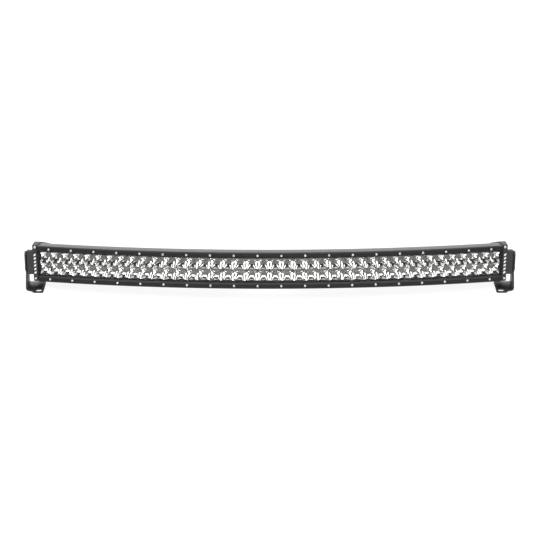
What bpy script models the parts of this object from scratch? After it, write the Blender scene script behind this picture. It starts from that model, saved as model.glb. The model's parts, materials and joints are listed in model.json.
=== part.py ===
"""Curved double-row LED light bar on two tilting end brackets.

Frame: metres, +Z up, +X to the viewer's right, the light shines towards -Y. The undersides of the
two bracket feet are at z = 0, and the bar is tilted up by REST_TILT from level.

Bar frame: the light bar is drawn level, with its origin in the middle of the bezel's front face.
It bends about a vertical axis BEND_R behind that point. A place on it is given as an arc length
along the front face (s, + to the right), a depth behind the front face (d) and a height (z).
"""
import math

import bmesh
import bpy
from mathutils import Matrix, Vector

MM = 0.001
GAP = 0.3 * MM  # running gap between pieces that touch

# --- driving dimensions -------------------------------------------------------------------------
BEND_R = 2410 * MM          # radius of the front face, seen from above
BAR_HEIGHT = 81.2 * MM      # bezel face, bottom to top
CELL_PITCH = 25.4 * MM      # between LED cells, along both rows and between the rows
COLUMNS = 40                # LED cells in each row
MODULE_COLUMNS = 2          # cell columns in one reflector module
BAR_DEPTH = 80 * MM         # front face to the tips of the middle fins
REST_TILT = math.radians(14)
TILT_DOWN = math.radians(-15)   # the lock slot's ends, from level
TILT_UP = math.radians(25)

MODULES = COLUMNS // MODULE_COLUMNS
MODULE_PITCH = MODULE_COLUMNS * CELL_PITCH
HALF_LENGTH = MODULES * MODULE_PITCH / 2 + 0.5 * MM   # arc from the middle to a housing end

# Front stack, as depths behind the front face
BEZEL_BACK = 9.0 * MM
LENS_FRONT = 5.2 * MM
LENS_THICK = 3.0 * MM
GASKET_THICK = 1.4 * MM
REFLECTOR_FRONT = 8.6 * MM
REFLECTOR_BACK = 26.0 * MM
BOARD_THICK = 1.6 * MM
POCKET_FLOOR = REFLECTOR_BACK + BOARD_THICK + 2 * GAP
WINDOW_HALF = 27.0 * MM     # half the height of the lens window
LENS_HALF = 30.0 * MM
REFLECTOR_HALF = 25.6 * MM
POCKET_HALF = 26.2 * MM
MODULE_WIDTH = MODULE_PITCH - 1.0 * MM
DISH_FRONT_R = 11.8 * MM
DISH_BACK_R = 5.0 * MM

# Housing section behind the bezels
CREST_DEPTH = 26 * MM
CAVITY_FRONT = 33 * MM
CAVITY_BACK = 49 * MM
CAVITY_HALF = 25 * MM
SHELL_BACK = 52 * MM        # back of the housing's shell: the fins' base lies on it
FIN_ROOT = 54 * MM
FIN_COUNT = 9
FIN_PITCH = 6.0 * MM
FIN_THICK = 2.6 * MM
FIN_SWEEP = 6 * MM          # the outer fins stop this much short of the middle one
PAD_HALF_WIDTH = HALF_LENGTH / 10   # arc of the bare pad between the fins, for the gland and the vent
GLAND_S = -24 * MM          # arc length
GLAND_THREAD_R = 8.0 * MM
GLAND_BORE_R = 4.5 * MM
VENT_S = 24 * MM
VENT_THREAD_R = 4.0 * MM

# End caps
CAP_GASKET = 1.0 * MM
CAP_THICK = 11.0 * MM       # at the front edge: the cap is a wedge with an upright outer face
CAP_DEPTH = 82 * MM
CAP_CROWN = 1.5 * MM
CAP_OUTER_X = 516 * MM
BOSS_X = 529.2 * MM         # face of the boss that carries the bracket
CAP_START = HALF_LENGTH + GAP + CAP_GASKET + GAP
CAP_END = CAP_START + CAP_THICK
SIDE_SCREW_R = 2.0 * MM
SIDE_HEAD_R = 3.6 * MM
SIDE_HEAD_HEIGHT = 2.6 * MM
SIDE_SCREW_SEAT = SIDE_HEAD_HEIGHT + 2 * GAP    # the side screws' heads are sunk flush
SIDE_SCREW_LENGTH = CAP_THICK + CAP_GASKET + 10 * MM
SIDE_SCREW_DEPTH = 20 * MM      # place on the cap: depth and height
SIDE_SCREW_HEIGHT = 34.6 * MM
FRONT_SCREW_R = 1.5 * MM
FRONT_HEAD_R = 2.7 * MM
FRONT_HEAD_HEIGHT = 1.8 * MM
FRONT_SCREW_LENGTH = 8 * MM
FRONT_SCREWS = {"upper": (513.6 * MM, 37.4 * MM), "lower": (515.6 * MM, -33.4 * MM)}  # arc, height

# Brackets
PIVOT_Y = 80 * MM           # the pivot axis in the bar frame
PIVOT_Z = -17 * MM
LOCK_RADIUS = 29.6 * MM     # pivot bolt to lock bolt
LOCK_LEAN = math.radians(15.7)  # the lock bolt is above the pivot and this far behind it
PLATE = 3.5 * MM
PLATE_OUTER_X = 534 * MM
FOOT_DROP = 36 * MM         # pivot axis to the foot's underside
FOOT_INNER_X = 494.8 * MM
FOOT_FRONT_Y = -47 * MM     # foot's front and back edges, from the pivot axis
FOOT_BACK_Y = -3.5 * MM
BEND_INNER_R = 2.5 * MM
SLOT_WIDTH = 9.4 * MM
SLOT_LENGTH = 14.5 * MM
SLOT_X = 505.2 * MM
SLOT_Y = -39.5 * MM
BOLT_R = 4.0 * MM           # M8 pivot and lock bolts
BOLT_HOLE_R = 4.3 * MM
BOLT_HEAD_R = 7.0 * MM
WASHER_R = 8.2 * MM
WASHER_THICK = 1.2 * MM
FRICTION_WASHER_R = 9.0 * MM
BOLTS = {  # Y and Z in the bar frame
    "pivot": (PIVOT_Y, PIVOT_Z),
    "lock": (PIVOT_Y + LOCK_RADIUS * math.sin(LOCK_LEAN), PIVOT_Z + LOCK_RADIUS * math.cos(LOCK_LEAN)),
}
MID_R = BEND_INNER_R + PLATE / 2              # the foot bend's radius at mid thickness
BEND_TOP = -FOOT_DROP + PLATE / 2 + MID_R     # heights are from the pivot axis
BEND_LENGTH = MID_R * math.pi / 2

# The pivot axis in the part's frame: this puts the origin under the middle of the whole part
WORLD_PIVOT = Vector((0, 8.6 * MM, FOOT_DROP))


# --- scene and materials ------------------------------------------------------------------------
def clear_scene():
    for obj in list(bpy.data.objects):
        bpy.data.objects.remove(obj, do_unlink=True)


def new_collection(name):
    collection = bpy.data.collections.new(name)
    bpy.context.scene.collection.children.link(collection)
    return collection


def principled(name, color, roughness, metallic=0.0, transmission=0.0):
    material = bpy.data.materials.new(name)
    material.use_nodes = True
    shader = material.node_tree.nodes["Principled BSDF"]
    shader.inputs["Base Color"].default_value = (*color, 1)
    shader.inputs["Roughness"].default_value = roughness
    shader.inputs["Metallic"].default_value = metallic
    shader.inputs["Transmission Weight"].default_value = transmission
    return material


clear_scene()
PARTS = new_collection("led_light_bar")
CUTTERS = new_collection("cutters")

BLACK_METAL = principled("black_powder_coat", (0.018, 0.018, 0.02), 0.42, 0.3)
CAST_METAL = principled("black_cast_texture", (0.022, 0.022, 0.024), 0.6, 0.3)
CLEAR_LENS = principled("clear_polycarbonate", (0.95, 0.96, 0.97), 0.05, 0.0, 1.0)
METALLISED = principled("metallised_reflector", (0.82, 0.82, 0.8), 0.12, 1.0)
CIRCUIT = principled("white_circuit_board", (0.75, 0.77, 0.74), 0.5)
GREEN_CIRCUIT = principled("green_circuit_board", (0.03, 0.2, 0.08), 0.45)
STAINLESS = principled("stainless_steel", (0.62, 0.61, 0.59), 0.28, 1.0)
RUBBER = principled("black_rubber", (0.02, 0.02, 0.02), 0.8)
NYLON = principled("black_nylon", (0.03, 0.03, 0.03), 0.5)


# --- general helpers ----------------------------------------------------------------------------
def place(name, mesh, material, parent, location=(0, 0, 0), rotation=(0, 0, 0)):
    """A named piece of the part, in its parent's frame."""
    obj = bpy.data.objects.new(name, mesh)
    PARTS.objects.link(obj)
    if not mesh.materials:
        mesh.materials.append(material)
    obj.parent = parent
    obj.location = location
    obj.rotation_euler = rotation
    return obj


def cutter(name, mesh, parent, location=(0, 0, 0), rotation=(0, 0, 0)):
    """A hidden guide solid for a Boolean."""
    obj = bpy.data.objects.new(name, mesh)
    CUTTERS.objects.link(obj)
    obj.parent = parent
    obj.location = location
    obj.rotation_euler = rotation
    obj.hide_render = True
    obj.display_type = "WIRE"
    return obj


def boolean(obj, tool, operation="DIFFERENCE"):
    modifier = obj.modifiers.new(operation.lower(), "BOOLEAN")
    modifier.operation = operation
    modifier.object = tool


def mesh_from(bm, name):
    mesh = bpy.data.meshes.new(name)
    bm.to_mesh(mesh)
    bm.free()
    return mesh


def rounded(points, radius, segments=3):
    """The closed outline with each corner turned into an arc of the given radius."""
    outline = []
    for i, corner in enumerate(points):
        corner = Vector(corner)
        back = Vector(points[i - 1]) - corner
        ahead = Vector(points[(i + 1) % len(points)]) - corner
        half_angle = back.angle(ahead) / 2
        reach = min(radius / math.tan(half_angle), 0.45 * back.length, 0.45 * ahead.length)
        start = corner + back.normalized() * reach
        end = corner + ahead.normalized() * reach
        bisector = (back.normalized() + ahead.normalized()).normalized()
        centre = corner + bisector * (reach / math.cos(half_angle))
        for step in range(segments + 1):
            blend = start.lerp(end, step / segments) - centre
            outline.append(centre + blend.normalized() * (start - centre).length)
    return outline


def swept(name, outline, start, end, steps, hole=None):
    """A closed solid: the (depth, height) outline carried along the bar's arc from start to end."""
    bm = bmesh.new()
    angle = start / BEND_R
    for loop in (outline, hole or []):
        verts = []
        for depth, height in loop:
            radius = BEND_R - depth
            verts.append(bm.verts.new((radius * math.sin(angle), -radius * math.cos(angle), height)))
        for i, vert in enumerate(verts):
            bm.edges.new((verts[i - 1], vert))
    bmesh.ops.triangle_fill(bm, use_beauty=True, use_dissolve=False, edges=bm.edges[:])
    bmesh.ops.spin(bm, geom=bm.verts[:] + bm.edges[:] + bm.faces[:], cent=(0, 0, 0), axis=(0, 0, 1),
                   dvec=(0, 0, 0), angle=(end - start) / BEND_R, steps=steps, use_duplicate=False)
    bmesh.ops.recalc_face_normals(bm, faces=bm.faces[:])
    return mesh_from(bm, name)


def both_halves(half):
    """A front-to-back outline of the upper half, closed by its mirror image below."""
    return half + [(depth, -height) for depth, height in reversed(half)]


def flat_solid(name, outline, thickness):
    """A closed plate with the given outline in local XY, half its thickness each side of it."""
    curve = bpy.data.curves.new(name, "CURVE")
    curve.dimensions = "2D"
    curve.fill_mode = "BOTH"
    curve.extrude = thickness / 2
    spline = curve.splines.new("POLY")
    spline.points.add(len(outline) - 1)
    for point, (x, y) in zip(spline.points, outline):
        point.co = (x, y, 0, 1)
    spline.use_cyclic_u = True
    holder = bpy.data.objects.new(name, curve)
    bpy.context.scene.collection.objects.link(holder)
    graph = bpy.context.evaluated_depsgraph_get()
    bm = bmesh.new()
    bm.from_mesh(bpy.data.meshes.new_from_object(holder.evaluated_get(graph)))
    bmesh.ops.remove_doubles(bm, verts=bm.verts[:], dist=0.00001)
    bmesh.ops.recalc_face_normals(bm, faces=bm.faces[:])
    bpy.data.objects.remove(holder, do_unlink=True)
    bpy.data.curves.remove(curve)
    return mesh_from(bm, name)


def block(name, size):
    bm = bmesh.new()
    bmesh.ops.create_cube(bm, size=1.0)
    bmesh.ops.scale(bm, vec=size, verts=bm.verts[:])
    return mesh_from(bm, name)


def rod(name, radius, length, segments=16):
    """A cylinder along local Z, centred on its origin."""
    bm = bmesh.new()
    bmesh.ops.create_cone(bm, cap_ends=True, segments=segments, radius1=radius, radius2=radius,
                          depth=length)
    return mesh_from(bm, name)


def turn(obj, segments):
    """Turns the piece's profile, in local XZ, a full turn about local Z."""
    modifier = obj.modifiers.new("turn", "SCREW")
    modifier.steps = segments
    modifier.render_steps = segments
    modifier.use_merge_vertices = True
    modifier.merge_threshold = 0.00001


def profile(name, points, closed=False):
    bm = bmesh.new()
    verts = [bm.verts.new((radius, 0, height)) for radius, height in points]
    for a, b in zip(verts, verts[1:]):
        bm.edges.new((a, b))
    if closed:
        bm.edges.new((verts[-1], verts[0]))
    return mesh_from(bm, name)


def empty(name, parent=None, location=(0, 0, 0), rotation=(0, 0, 0)):
    obj = bpy.data.objects.new(name, None)
    PARTS.objects.link(obj)
    obj.parent = parent
    obj.location = location
    obj.rotation_euler = rotation
    return obj


# --- frames -------------------------------------------------------------------------------------
TILT_AXIS = empty("tilt_axis", location=WORLD_PIVOT, rotation=(-REST_TILT, 0, 0))
BAR = empty("bar_frame", TILT_AXIS, location=(0, -PIVOT_Y, -PIVOT_Z))
ARC = empty("arc_frame", BAR, location=(0, BEND_R, 0))   # every swept mesh turns about this point


def on_arc(s, depth, height):
    """A point of the bar frame."""
    radius = BEND_R - depth
    return Vector((radius * math.sin(s / BEND_R), BEND_R - radius * math.cos(s / BEND_R), height))


def arc_turn(s):
    """Rotation that turns local X along the bar at arc length s."""
    return Matrix.Rotation(s / BEND_R, 4, "Z")


def rear_frame(s):
    """Local +Z points backwards out of the housing's shell at arc length s."""
    return (Matrix.Translation(on_arc(s, SHELL_BACK, 0)) @ arc_turn(s)
            @ Matrix.Rotation(-math.pi / 2, 4, "X"))


# --- housing ------------------------------------------------------------------------------------
def make_housing():
    top = BAR_HEIGHT / 2
    rim = BEZEL_BACK + GAP
    rebate = rim + 0.9 * MM
    outline = both_halves([
        (POCKET_FLOOR, POCKET_HALF), (rebate, POCKET_HALF), (rebate, LENS_HALF + GAP),
        (rim, LENS_HALF + GAP), (rim, top - 1.6 * MM), (13 * MM, top - 0.9 * MM),
        (CREST_DEPTH - 3 * MM, top - 0.2 * MM), (CREST_DEPTH + 1 * MM, top - 0.6 * MM),
        (38 * MM, 36.5 * MM), (50 * MM, 32.0 * MM), (SHELL_BACK, 30.0 * MM)])
    cavity = [(CAVITY_FRONT, CAVITY_HALF), (CAVITY_BACK, CAVITY_HALF - 2 * MM),
              (CAVITY_BACK, -CAVITY_HALF + 2 * MM), (CAVITY_FRONT, -CAVITY_HALF)]
    mesh = swept("housing", outline, -HALF_LENGTH, HALF_LENGTH, MODULES, cavity)
    housing = place("housing", mesh, BLACK_METAL, ARC)
    for label, s, radius in (("gland", GLAND_S, GLAND_THREAD_R), ("vent", VENT_S, VENT_THREAD_R)):
        hole = cutter(label + "_hole", rod(label + "_hole", radius + GAP, 12 * MM), BAR)
        hole.matrix_local = rear_frame(s)
        boolean(housing, hole)
    for side, label in ((-1, "left"), (1, "right")):
        for level, name in ((1, "upper"), (-1, "lower")):
            boolean(housing, side_screw_hole(label, side, name, level))


def make_fins():
    """The housing's fins, in two lengths either side of the pad. They are solids of their own, so
    that the pad between them stays open."""
    top = (FIN_COUNT - 1) / 2 * FIN_PITCH
    half = FIN_THICK / 2
    outline = [(SHELL_BACK + GAP, top + half)]
    for i in range(FIN_COUNT):
        height = top - i * FIN_PITCH
        tip = BAR_DEPTH - FIN_SWEEP * (height / top) ** 2
        outline += [(FIN_ROOT, height + half), (tip, height + 0.7 * half),
                    (tip, height - 0.7 * half), (FIN_ROOT, height - half)]
    outline.append((SHELL_BACK + GAP, -top - half))
    steps = round(MODULES * (HALF_LENGTH - PAD_HALF_WIDTH) / (2 * HALF_LENGTH))
    for label, start, end in (("left", -HALF_LENGTH, -PAD_HALF_WIDTH), ("right", PAD_HALF_WIDTH, HALF_LENGTH)):
        place("fins_" + label, swept("fins", outline, start, end, steps), BLACK_METAL, ARC)


# --- bezels, lens and seals ---------------------------------------------------------------------
def bezel_outline():
    """The top bezel strip: a chamfer down to the window and a rebate for the lens edge."""
    top = BAR_HEIGHT / 2
    return [(0, WINDOW_HALF + 3.5 * MM), (3.5 * MM, WINDOW_HALF),
            (LENS_FRONT - GAP, WINDOW_HALF), (LENS_FRONT - GAP, LENS_HALF + GAP),
            (BEZEL_BACK, LENS_HALF + GAP), (BEZEL_BACK, top), (2.2 * MM, top), (0, top - 2.2 * MM)]


def strip(name, outline, material, level=1, length=HALF_LENGTH):
    shape = [(depth, level * height) for depth, height in outline]
    return place(name, swept(name, shape, -length, length, MODULES), material, ARC)


def rectangle(front, back, low, high):
    return [(front, low), (back, low), (back, high), (front, high)]


def make_front():
    strip("top_bezel", bezel_outline(), BLACK_METAL)
    strip("bottom_bezel", bezel_outline(), BLACK_METAL, -1)
    lens_back = LENS_FRONT + LENS_THICK
    strip("lens", rectangle(LENS_FRONT, lens_back, -LENS_HALF, LENS_HALF), CLEAR_LENS)
    seal = rectangle(lens_back + GAP, lens_back + GAP + GASKET_THICK, POCKET_HALF + GAP, LENS_HALF)
    strip("lens_gasket_top", seal, RUBBER)
    strip("lens_gasket_bottom", seal, RUBBER, -1)


# --- optics and electronics ---------------------------------------------------------------------
def reflector_mesh():
    """One module: a block with four conical dishes through it. Local -Y is the front."""
    depth = REFLECTOR_BACK - REFLECTOR_FRONT
    body = place("reflector_blank", block("reflector_blank",
                 (MODULE_WIDTH, depth, 2 * REFLECTOR_HALF)), METALLISED, None)
    overrun = 0.5 * MM
    flare = (DISH_FRONT_R - DISH_BACK_R) * overrun / depth
    bm = bmesh.new()
    for x in (-CELL_PITCH / 2, CELL_PITCH / 2):
        for z in (-CELL_PITCH / 2, CELL_PITCH / 2):
            spot = Matrix.Translation((x, 0, z)) @ Matrix.Rotation(math.pi / 2, 4, "X")
            bmesh.ops.create_cone(bm, cap_ends=True, segments=10, radius1=DISH_BACK_R - flare,
                                  radius2=DISH_FRONT_R + flare, depth=depth + 2 * overrun,
                                  matrix=spot)
    dishes = cutter("dishes", mesh_from(bm, "dishes"), None)
    boolean(body, dishes)
    graph = bpy.context.evaluated_depsgraph_get()
    mesh = bpy.data.meshes.new_from_object(body.evaluated_get(graph))
    mesh.name = "reflector_module"
    for helper in (body, dishes):
        bpy.data.objects.remove(helper, do_unlink=True)
    return mesh


def make_reflectors():
    mesh = reflector_mesh()
    chord = math.cos(MODULE_PITCH / BEND_R / 2)
    radius = BEND_R * chord - (REFLECTOR_FRONT + REFLECTOR_BACK) / 2
    for i in range(MODULES):
        angle = (i - (MODULES - 1) / 2) * MODULE_PITCH / BEND_R
        spot = (radius * math.sin(angle), -radius * math.cos(angle), 0)
        place(f"reflector_{i + 1:02d}", mesh, METALLISED, ARC, spot, (0, 0, angle))


def make_boards():
    boards = 2
    steps = MODULES // boards
    front = REFLECTOR_BACK + GAP
    reach = 2 * HALF_LENGTH / boards
    shape = rectangle(front, front + BOARD_THICK, -REFLECTOR_HALF, REFLECTOR_HALF)
    for i in range(boards):
        start = -HALF_LENGTH + i * reach
        mesh = swept("led_board", shape, start + GAP, start + reach - GAP, steps)
        place(f"led_board_{i + 1}", mesh, CIRCUIT, ARC)
    driver = rectangle(CAVITY_FRONT + 3 * MM, CAVITY_FRONT + 4.6 * MM, -18 * MM, 18 * MM)
    for label, start in (("left", -430 * MM), ("right", 50 * MM)):
        mesh = swept("driver_board", driver, start, start + 380 * MM, 8)
        place("driver_board_" + label, mesh, GREEN_CIRCUIT, ARC)
    lead = bpy.data.curves.new("inner_lead", "CURVE")
    lead.dimensions = "3D"
    lead.bevel_depth = 1.5 * MM
    lead.bevel_resolution = 1
    lead.use_fill_caps = True
    route = lead.splines.new("POLY")
    turns = 8
    route.points.add(turns)
    for i, point in enumerate(route.points):
        share = i / turns
        s = GLAND_S + 70 * MM * share
        sway = 6 * MM * math.sin(math.pi * share)
        point.co = (*on_arc(s, CAVITY_FRONT + 9 * MM, sway), 1)
    piece = bpy.data.objects.new("inner_lead", lead)
    PARTS.objects.link(piece)
    lead.materials.append(RUBBER)
    piece.parent = BAR


# --- end caps -----------------------------------------------------------------------------------
def side_screw_frame(side, level):
    """Local +Z points out of the cap's outer face."""
    spot = Vector((side * CAP_OUTER_X, on_arc(CAP_END, SIDE_SCREW_DEPTH, 0).y, level * SIDE_SCREW_HEIGHT))
    return Matrix.Translation(spot) @ Matrix.Rotation(side * math.pi / 2, 4, "Y")


def side_screw_hole(label, side, name, level):
    """A through hole for the shank, from the seat of the counterbore inwards."""
    length = SIDE_SCREW_LENGTH + 6 * MM
    tool = cutter(f"side_hole_{label}_{name}", rod("side_hole", SIDE_SCREW_R + GAP, length, 12), BAR)
    tool.matrix_local = side_screw_frame(side, level) @ Matrix.Translation((0, 0, 1 * MM - length / 2))
    return tool


def counterbore(label, side, name, level):
    tool = cutter(f"counterbore_{label}_{name}", rod("counterbore", SIDE_HEAD_R + GAP, 2 * SIDE_SCREW_SEAT, 14), BAR)
    tool.matrix_local = side_screw_frame(side, level)
    return tool


def front_screw_frame(side, s, height):
    """Local +Z points forwards out of the cap's front edge."""
    s *= side
    return (Matrix.Translation(on_arc(s, 0, height)) @ arc_turn(s)
            @ Matrix.Rotation(math.pi / 2, 4, "X"))


def small_screw(length, head_r, head_height, shank_r):
    """A cap-head screw profile: head above z = 0, shank below it."""
    recess = 0.5 * head_r
    return [(0, 0.35 * head_height), (recess, 0.35 * head_height), (recess * 1.1, head_height),
            (0.75 * head_r, head_height), (head_r, 0.55 * head_height), (head_r, 0.1 * MM),
            (shank_r, 0.1 * MM), (shank_r, -length), (0, -length)]


def cap_half(top, inset):
    return [(inset, top - 2.5 * MM), (inset + 2.5 * MM, top), (29 * MM, top), (34 * MM, top - 1.4 * MM),
            (CAP_DEPTH - 5 * MM - inset, 25.8 * MM - inset), (CAP_DEPTH - inset, 21 * MM - inset)]


def cap_outline(inset=0.0, crown=0.0):
    """Its top stands proud of the bar by the crown."""
    half_height = BAR_HEIGHT / 2 - inset
    below = [(depth, -height) for depth, height in reversed(cap_half(half_height, inset))]
    return cap_half(half_height + crown, inset) + below


def wedge(name, outline, inner, outer):
    """A solid with its (depth, height) outline on both sides, each side placed by its function."""
    mesh = flat_solid(name, outline, 1.0)
    for vert in mesh.vertices:
        depth, height, layer = vert.co
        vert.co = (outer if layer > 0 else inner)(depth, height)
    bm = bmesh.new()
    bm.from_mesh(mesh)
    bmesh.ops.recalc_face_normals(bm, faces=bm.faces[:])
    return mesh_from(bm, name)


def cap_mesh(side):
    """Its inner face closes the bar's slanting end, and its outer face is upright in Y and Z."""
    front = on_arc(CAP_END, 0, 0).y
    return wedge("end_cap", cap_outline(crown=CAP_CROWN),
                 lambda depth, height: on_arc(side * CAP_START, depth, height),
                 lambda depth, height: Vector((side * CAP_OUTER_X, front + depth, height)))


def boss_mesh(side):
    """The raised seat for the bracket on the cap's outer face."""
    seat = [(57, -25), (106, -25), (106, 15.5), (70, 28), (67, 28.5), (57, 28.5)]
    root = CAP_OUTER_X - 4 * MM
    return wedge("boss", [(y * MM, z * MM) for y, z in seat],
                 lambda y, z: Vector((side * root, y, z)),
                 lambda y, z: Vector((side * BOSS_X, y, z)))


def make_end(side, label):
    cap = place("end_cap_" + label, cap_mesh(side), CAST_METAL, BAR)
    boolean(cap, cutter("boss_" + label, boss_mesh(side), BAR), "UNION")
    for name, (y, z) in BOLTS.items():
        reach = 24 * MM
        tool = cutter(f"{name}_hole_{label}", rod(name + "_hole", BOLT_HOLE_R, reach), BAR,
                      (side * (BOSS_X + 2 * MM - reach / 2), y, z), (0, math.pi / 2, 0))
        boolean(cap, tool)
    for name, level in (("upper", 1), ("lower", -1)):
        boolean(cap, side_screw_hole(label + "_cap", side, name, level))
        boolean(cap, counterbore(label, side, name, level))
        screw = place(f"cap_screw_{name}_{label}", profile("cap_screw", small_screw(
            SIDE_SCREW_LENGTH, SIDE_HEAD_R, SIDE_HEAD_HEIGHT, SIDE_SCREW_R)), STAINLESS, BAR)
        screw.matrix_local = side_screw_frame(side, level) @ Matrix.Translation((0, 0, GAP - SIDE_SCREW_SEAT))
        turn(screw, 12)
    for name, (s, height) in FRONT_SCREWS.items():
        frame = front_screw_frame(side, s, height)
        hole = rod("front_hole", FRONT_SCREW_R + GAP, 2 * (FRONT_SCREW_LENGTH + 1 * MM), 12)
        tool = cutter(f"front_hole_{name}_{label}", hole, BAR)
        tool.matrix_local = frame
        boolean(cap, tool)
        screw = place(f"front_screw_{name}_{label}", profile("front_screw", small_screw(
            FRONT_SCREW_LENGTH, FRONT_HEAD_R, FRONT_HEAD_HEIGHT, FRONT_SCREW_R)), STAINLESS, BAR)
        screw.matrix_local = frame @ Matrix.Translation((0, 0, GAP))
        turn(screw, 12)
    seal_from, seal_to = sorted((side * (HALF_LENGTH + GAP), side * (CAP_START - GAP)))
    seal = place("cap_gasket_" + label, swept("cap_gasket", cap_outline(2.0 * MM), seal_from, seal_to, 1),
                 RUBBER, ARC)
    for name, level in (("upper", 1), ("lower", -1)):
        boolean(seal, side_screw_hole(label + "_seal", side, name, level))


# --- brackets -----------------------------------------------------------------------------------
def blank_at(x):
    """Where the foot's point at distance x from the middle of the bar lies on the flat blank."""
    return BEND_TOP - BEND_LENGTH - (PLATE_OUTER_X - PLATE / 2 - MID_R - x)


def bracket_blank():
    """The bracket's flat blank in (Y, height): head, neck and, below the bend, the foot."""
    step_out = blank_at(PLATE_OUTER_X - 13 * MM)
    step_in = blank_at(PLATE_OUTER_X - 18 * MM)
    foot_end = blank_at(FOOT_INNER_X)
    head = [(-14, 42.5), (-6, 46.8), (30, 25.5), (33, 17.5), (29, 2), (17.5, -12)]
    neck = [(2, -17), (-4, -29.5)]
    front = [(-36, -28), (-18, 0.5), (-23, 7.5)]
    above = [(y * MM, z * MM) for y, z in head + neck]
    foot = [(FOOT_BACK_Y, foot_end), (FOOT_FRONT_Y, foot_end), (FOOT_FRONT_Y, step_in),
            (-41.5 * MM, step_out)]
    return above + foot + [(y * MM, z * MM) for y, z in front]


def fold(y, height, side):
    """The place of a blank's point once the foot is folded in under the bar."""
    run = BEND_TOP - height
    if run <= 0:
        return Vector((side * (PLATE_OUTER_X - PLATE / 2), y, height))
    angle = min(run / MID_R, math.pi / 2)
    inward = MID_R * (1 - math.cos(angle)) + max(run - BEND_LENGTH, 0)
    return Vector((side * (PLATE_OUTER_X - PLATE / 2 - inward), y, BEND_TOP - MID_R * math.sin(angle)))


def bracket_mesh(side):
    bm = bmesh.new()
    face = bm.faces.new([bm.verts.new((y, z, 0)) for y, z in rounded(bracket_blank(), 3.5 * MM)])
    folds = 4
    for i in range(folds + 1):
        line = BEND_TOP - BEND_LENGTH * i / folds
        bmesh.ops.bisect_plane(bm, geom=bm.verts[:] + bm.edges[:] + bm.faces[:], dist=1e-6,
                               plane_co=(0, line, 0), plane_no=(0, 1, 0))
    for vert in bm.verts:
        vert.co = fold(vert.co.x, vert.co.y, side)
    bmesh.ops.recalc_face_normals(bm, faces=bm.faces[:])
    return mesh_from(bm, "bracket")


def slot_outline(length, width, segments=8):
    """A slot along local X with round ends."""
    reach = (length - width) / 2
    points = []
    for end in (1, -1):
        for step in range(segments + 1):
            angle = math.pi * (step / segments - 0.5)
            points.append((end * (reach + width / 2 * math.cos(angle)), end * width / 2 * math.sin(angle)))
    return points


def arc_slot_outline(radius, width, half_angle, segments=8):
    """A slot with round ends along an arc about the local origin, centred straight above it."""
    points = []
    for sign in (1, -1):
        rim = radius + sign * width / 2
        sweep = [sign * half_angle * (1 - 2 * i / segments) for i in range(segments + 1)]
        points += [(rim * math.sin(a), rim * math.cos(a)) for a in sweep]
        end = Vector((radius * math.sin(sweep[-1]), radius * math.cos(sweep[-1])))
        for step in range(1, 6):
            a = sweep[-1] - math.pi * step / 6
            points.append(tuple(end + sign * width / 2 * Vector((math.sin(a), math.cos(a)))))
    return points


def make_bracket(side, label):
    pivot = empty("tilt_" + label, None, WORLD_PIVOT)
    bracket = place("bracket_" + label, bracket_mesh(side), BLACK_METAL, pivot)
    shell = bracket.modifiers.new("thickness", "SOLIDIFY")
    shell.thickness = PLATE
    shell.offset = 0
    shell.use_even_offset = True
    across = Matrix(((0, 0, 1, 0), (1, 0, 0, 0), (0, 1, 0, 0), (0, 0, 0, 1)))  # local XY to YZ
    at_plate = Matrix.Translation((side * (PLATE_OUTER_X - PLATE / 2), 0, 0))
    slack = math.radians(2)
    slot_centre = LOCK_LEAN + (TILT_UP + TILT_DOWN) / 2
    lean = Matrix.Rotation(-slot_centre, 4, "X")
    tools = {
        "pivot_bore_": (rod("pivot_bore", BOLT_HOLE_R, 3 * PLATE), at_plate @ across),
        "lock_slot_": (flat_solid("lock_slot", arc_slot_outline(
            LOCK_RADIUS, 2 * BOLT_HOLE_R + 0.4 * MM, (TILT_UP - TILT_DOWN) / 2 + slack), 3 * PLATE),
            at_plate @ lean @ across),
        "foot_slot_": (flat_solid("foot_slot", slot_outline(SLOT_LENGTH, SLOT_WIDTH), 3 * PLATE),
                       Matrix.Translation((side * SLOT_X, SLOT_Y, -FOOT_DROP + PLATE / 2))),
    }
    for name, (mesh, frame) in tools.items():
        tool = cutter(name + label, mesh, pivot)
        tool.matrix_local = frame
        boolean(bracket, tool)
    make_bolts(side, label)


def make_bolts(side, label):
    """The bolts stay in the end cap, so they tilt with the bar."""
    outward = Matrix.Rotation(side * math.pi / 2, 4, "Y")
    inner_face = PLATE_OUTER_X - PLATE
    boss_face = BOSS_X + GAP - inner_face
    spacer = [(FRICTION_WASHER_R, -GAP), (FRICTION_WASHER_R, boss_face), (BOLT_HOLE_R, boss_face),
              (BOLT_HOLE_R, -GAP)]
    top = GAP + WASHER_THICK
    washer = [(WASHER_R, top), (WASHER_R, GAP), (BOLT_HOLE_R, GAP), (BOLT_HOLE_R, top)]
    for name, (y, z) in BOLTS.items():
        at_face = Matrix.Translation((side * PLATE_OUTER_X, y, z)) @ outward
        ring = place(f"{name}_washer_{label}", profile("washer", washer, True), STAINLESS, BAR)
        ring.matrix_local = at_face
        turn(ring, 16)
        grip = PLATE + WASHER_THICK + 16 * MM
        head = [(0, 1.4 * MM), (3.0 * MM, 1.4 * MM), (3.1 * MM, 3.6 * MM), (4.8 * MM, 3.2 * MM),
                (BOLT_HEAD_R, 1.4 * MM), (BOLT_HEAD_R, 0.1 * MM), (BOLT_R, 0.1 * MM), (BOLT_R, -grip),
                (0, -grip)]
        bolt = place(f"{name}_bolt_{label}", profile("bolt", head), STAINLESS, BAR)
        bolt.matrix_local = at_face @ Matrix.Translation((0, 0, top + GAP))
        turn(bolt, 16)
    pad = place("friction_washer_" + label, profile("friction_washer", spacer, True), NYLON, BAR)
    pad.matrix_local = Matrix.Translation((side * inner_face, PIVOT_Y, PIVOT_Z)) @ outward
    turn(pad, 16)


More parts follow.
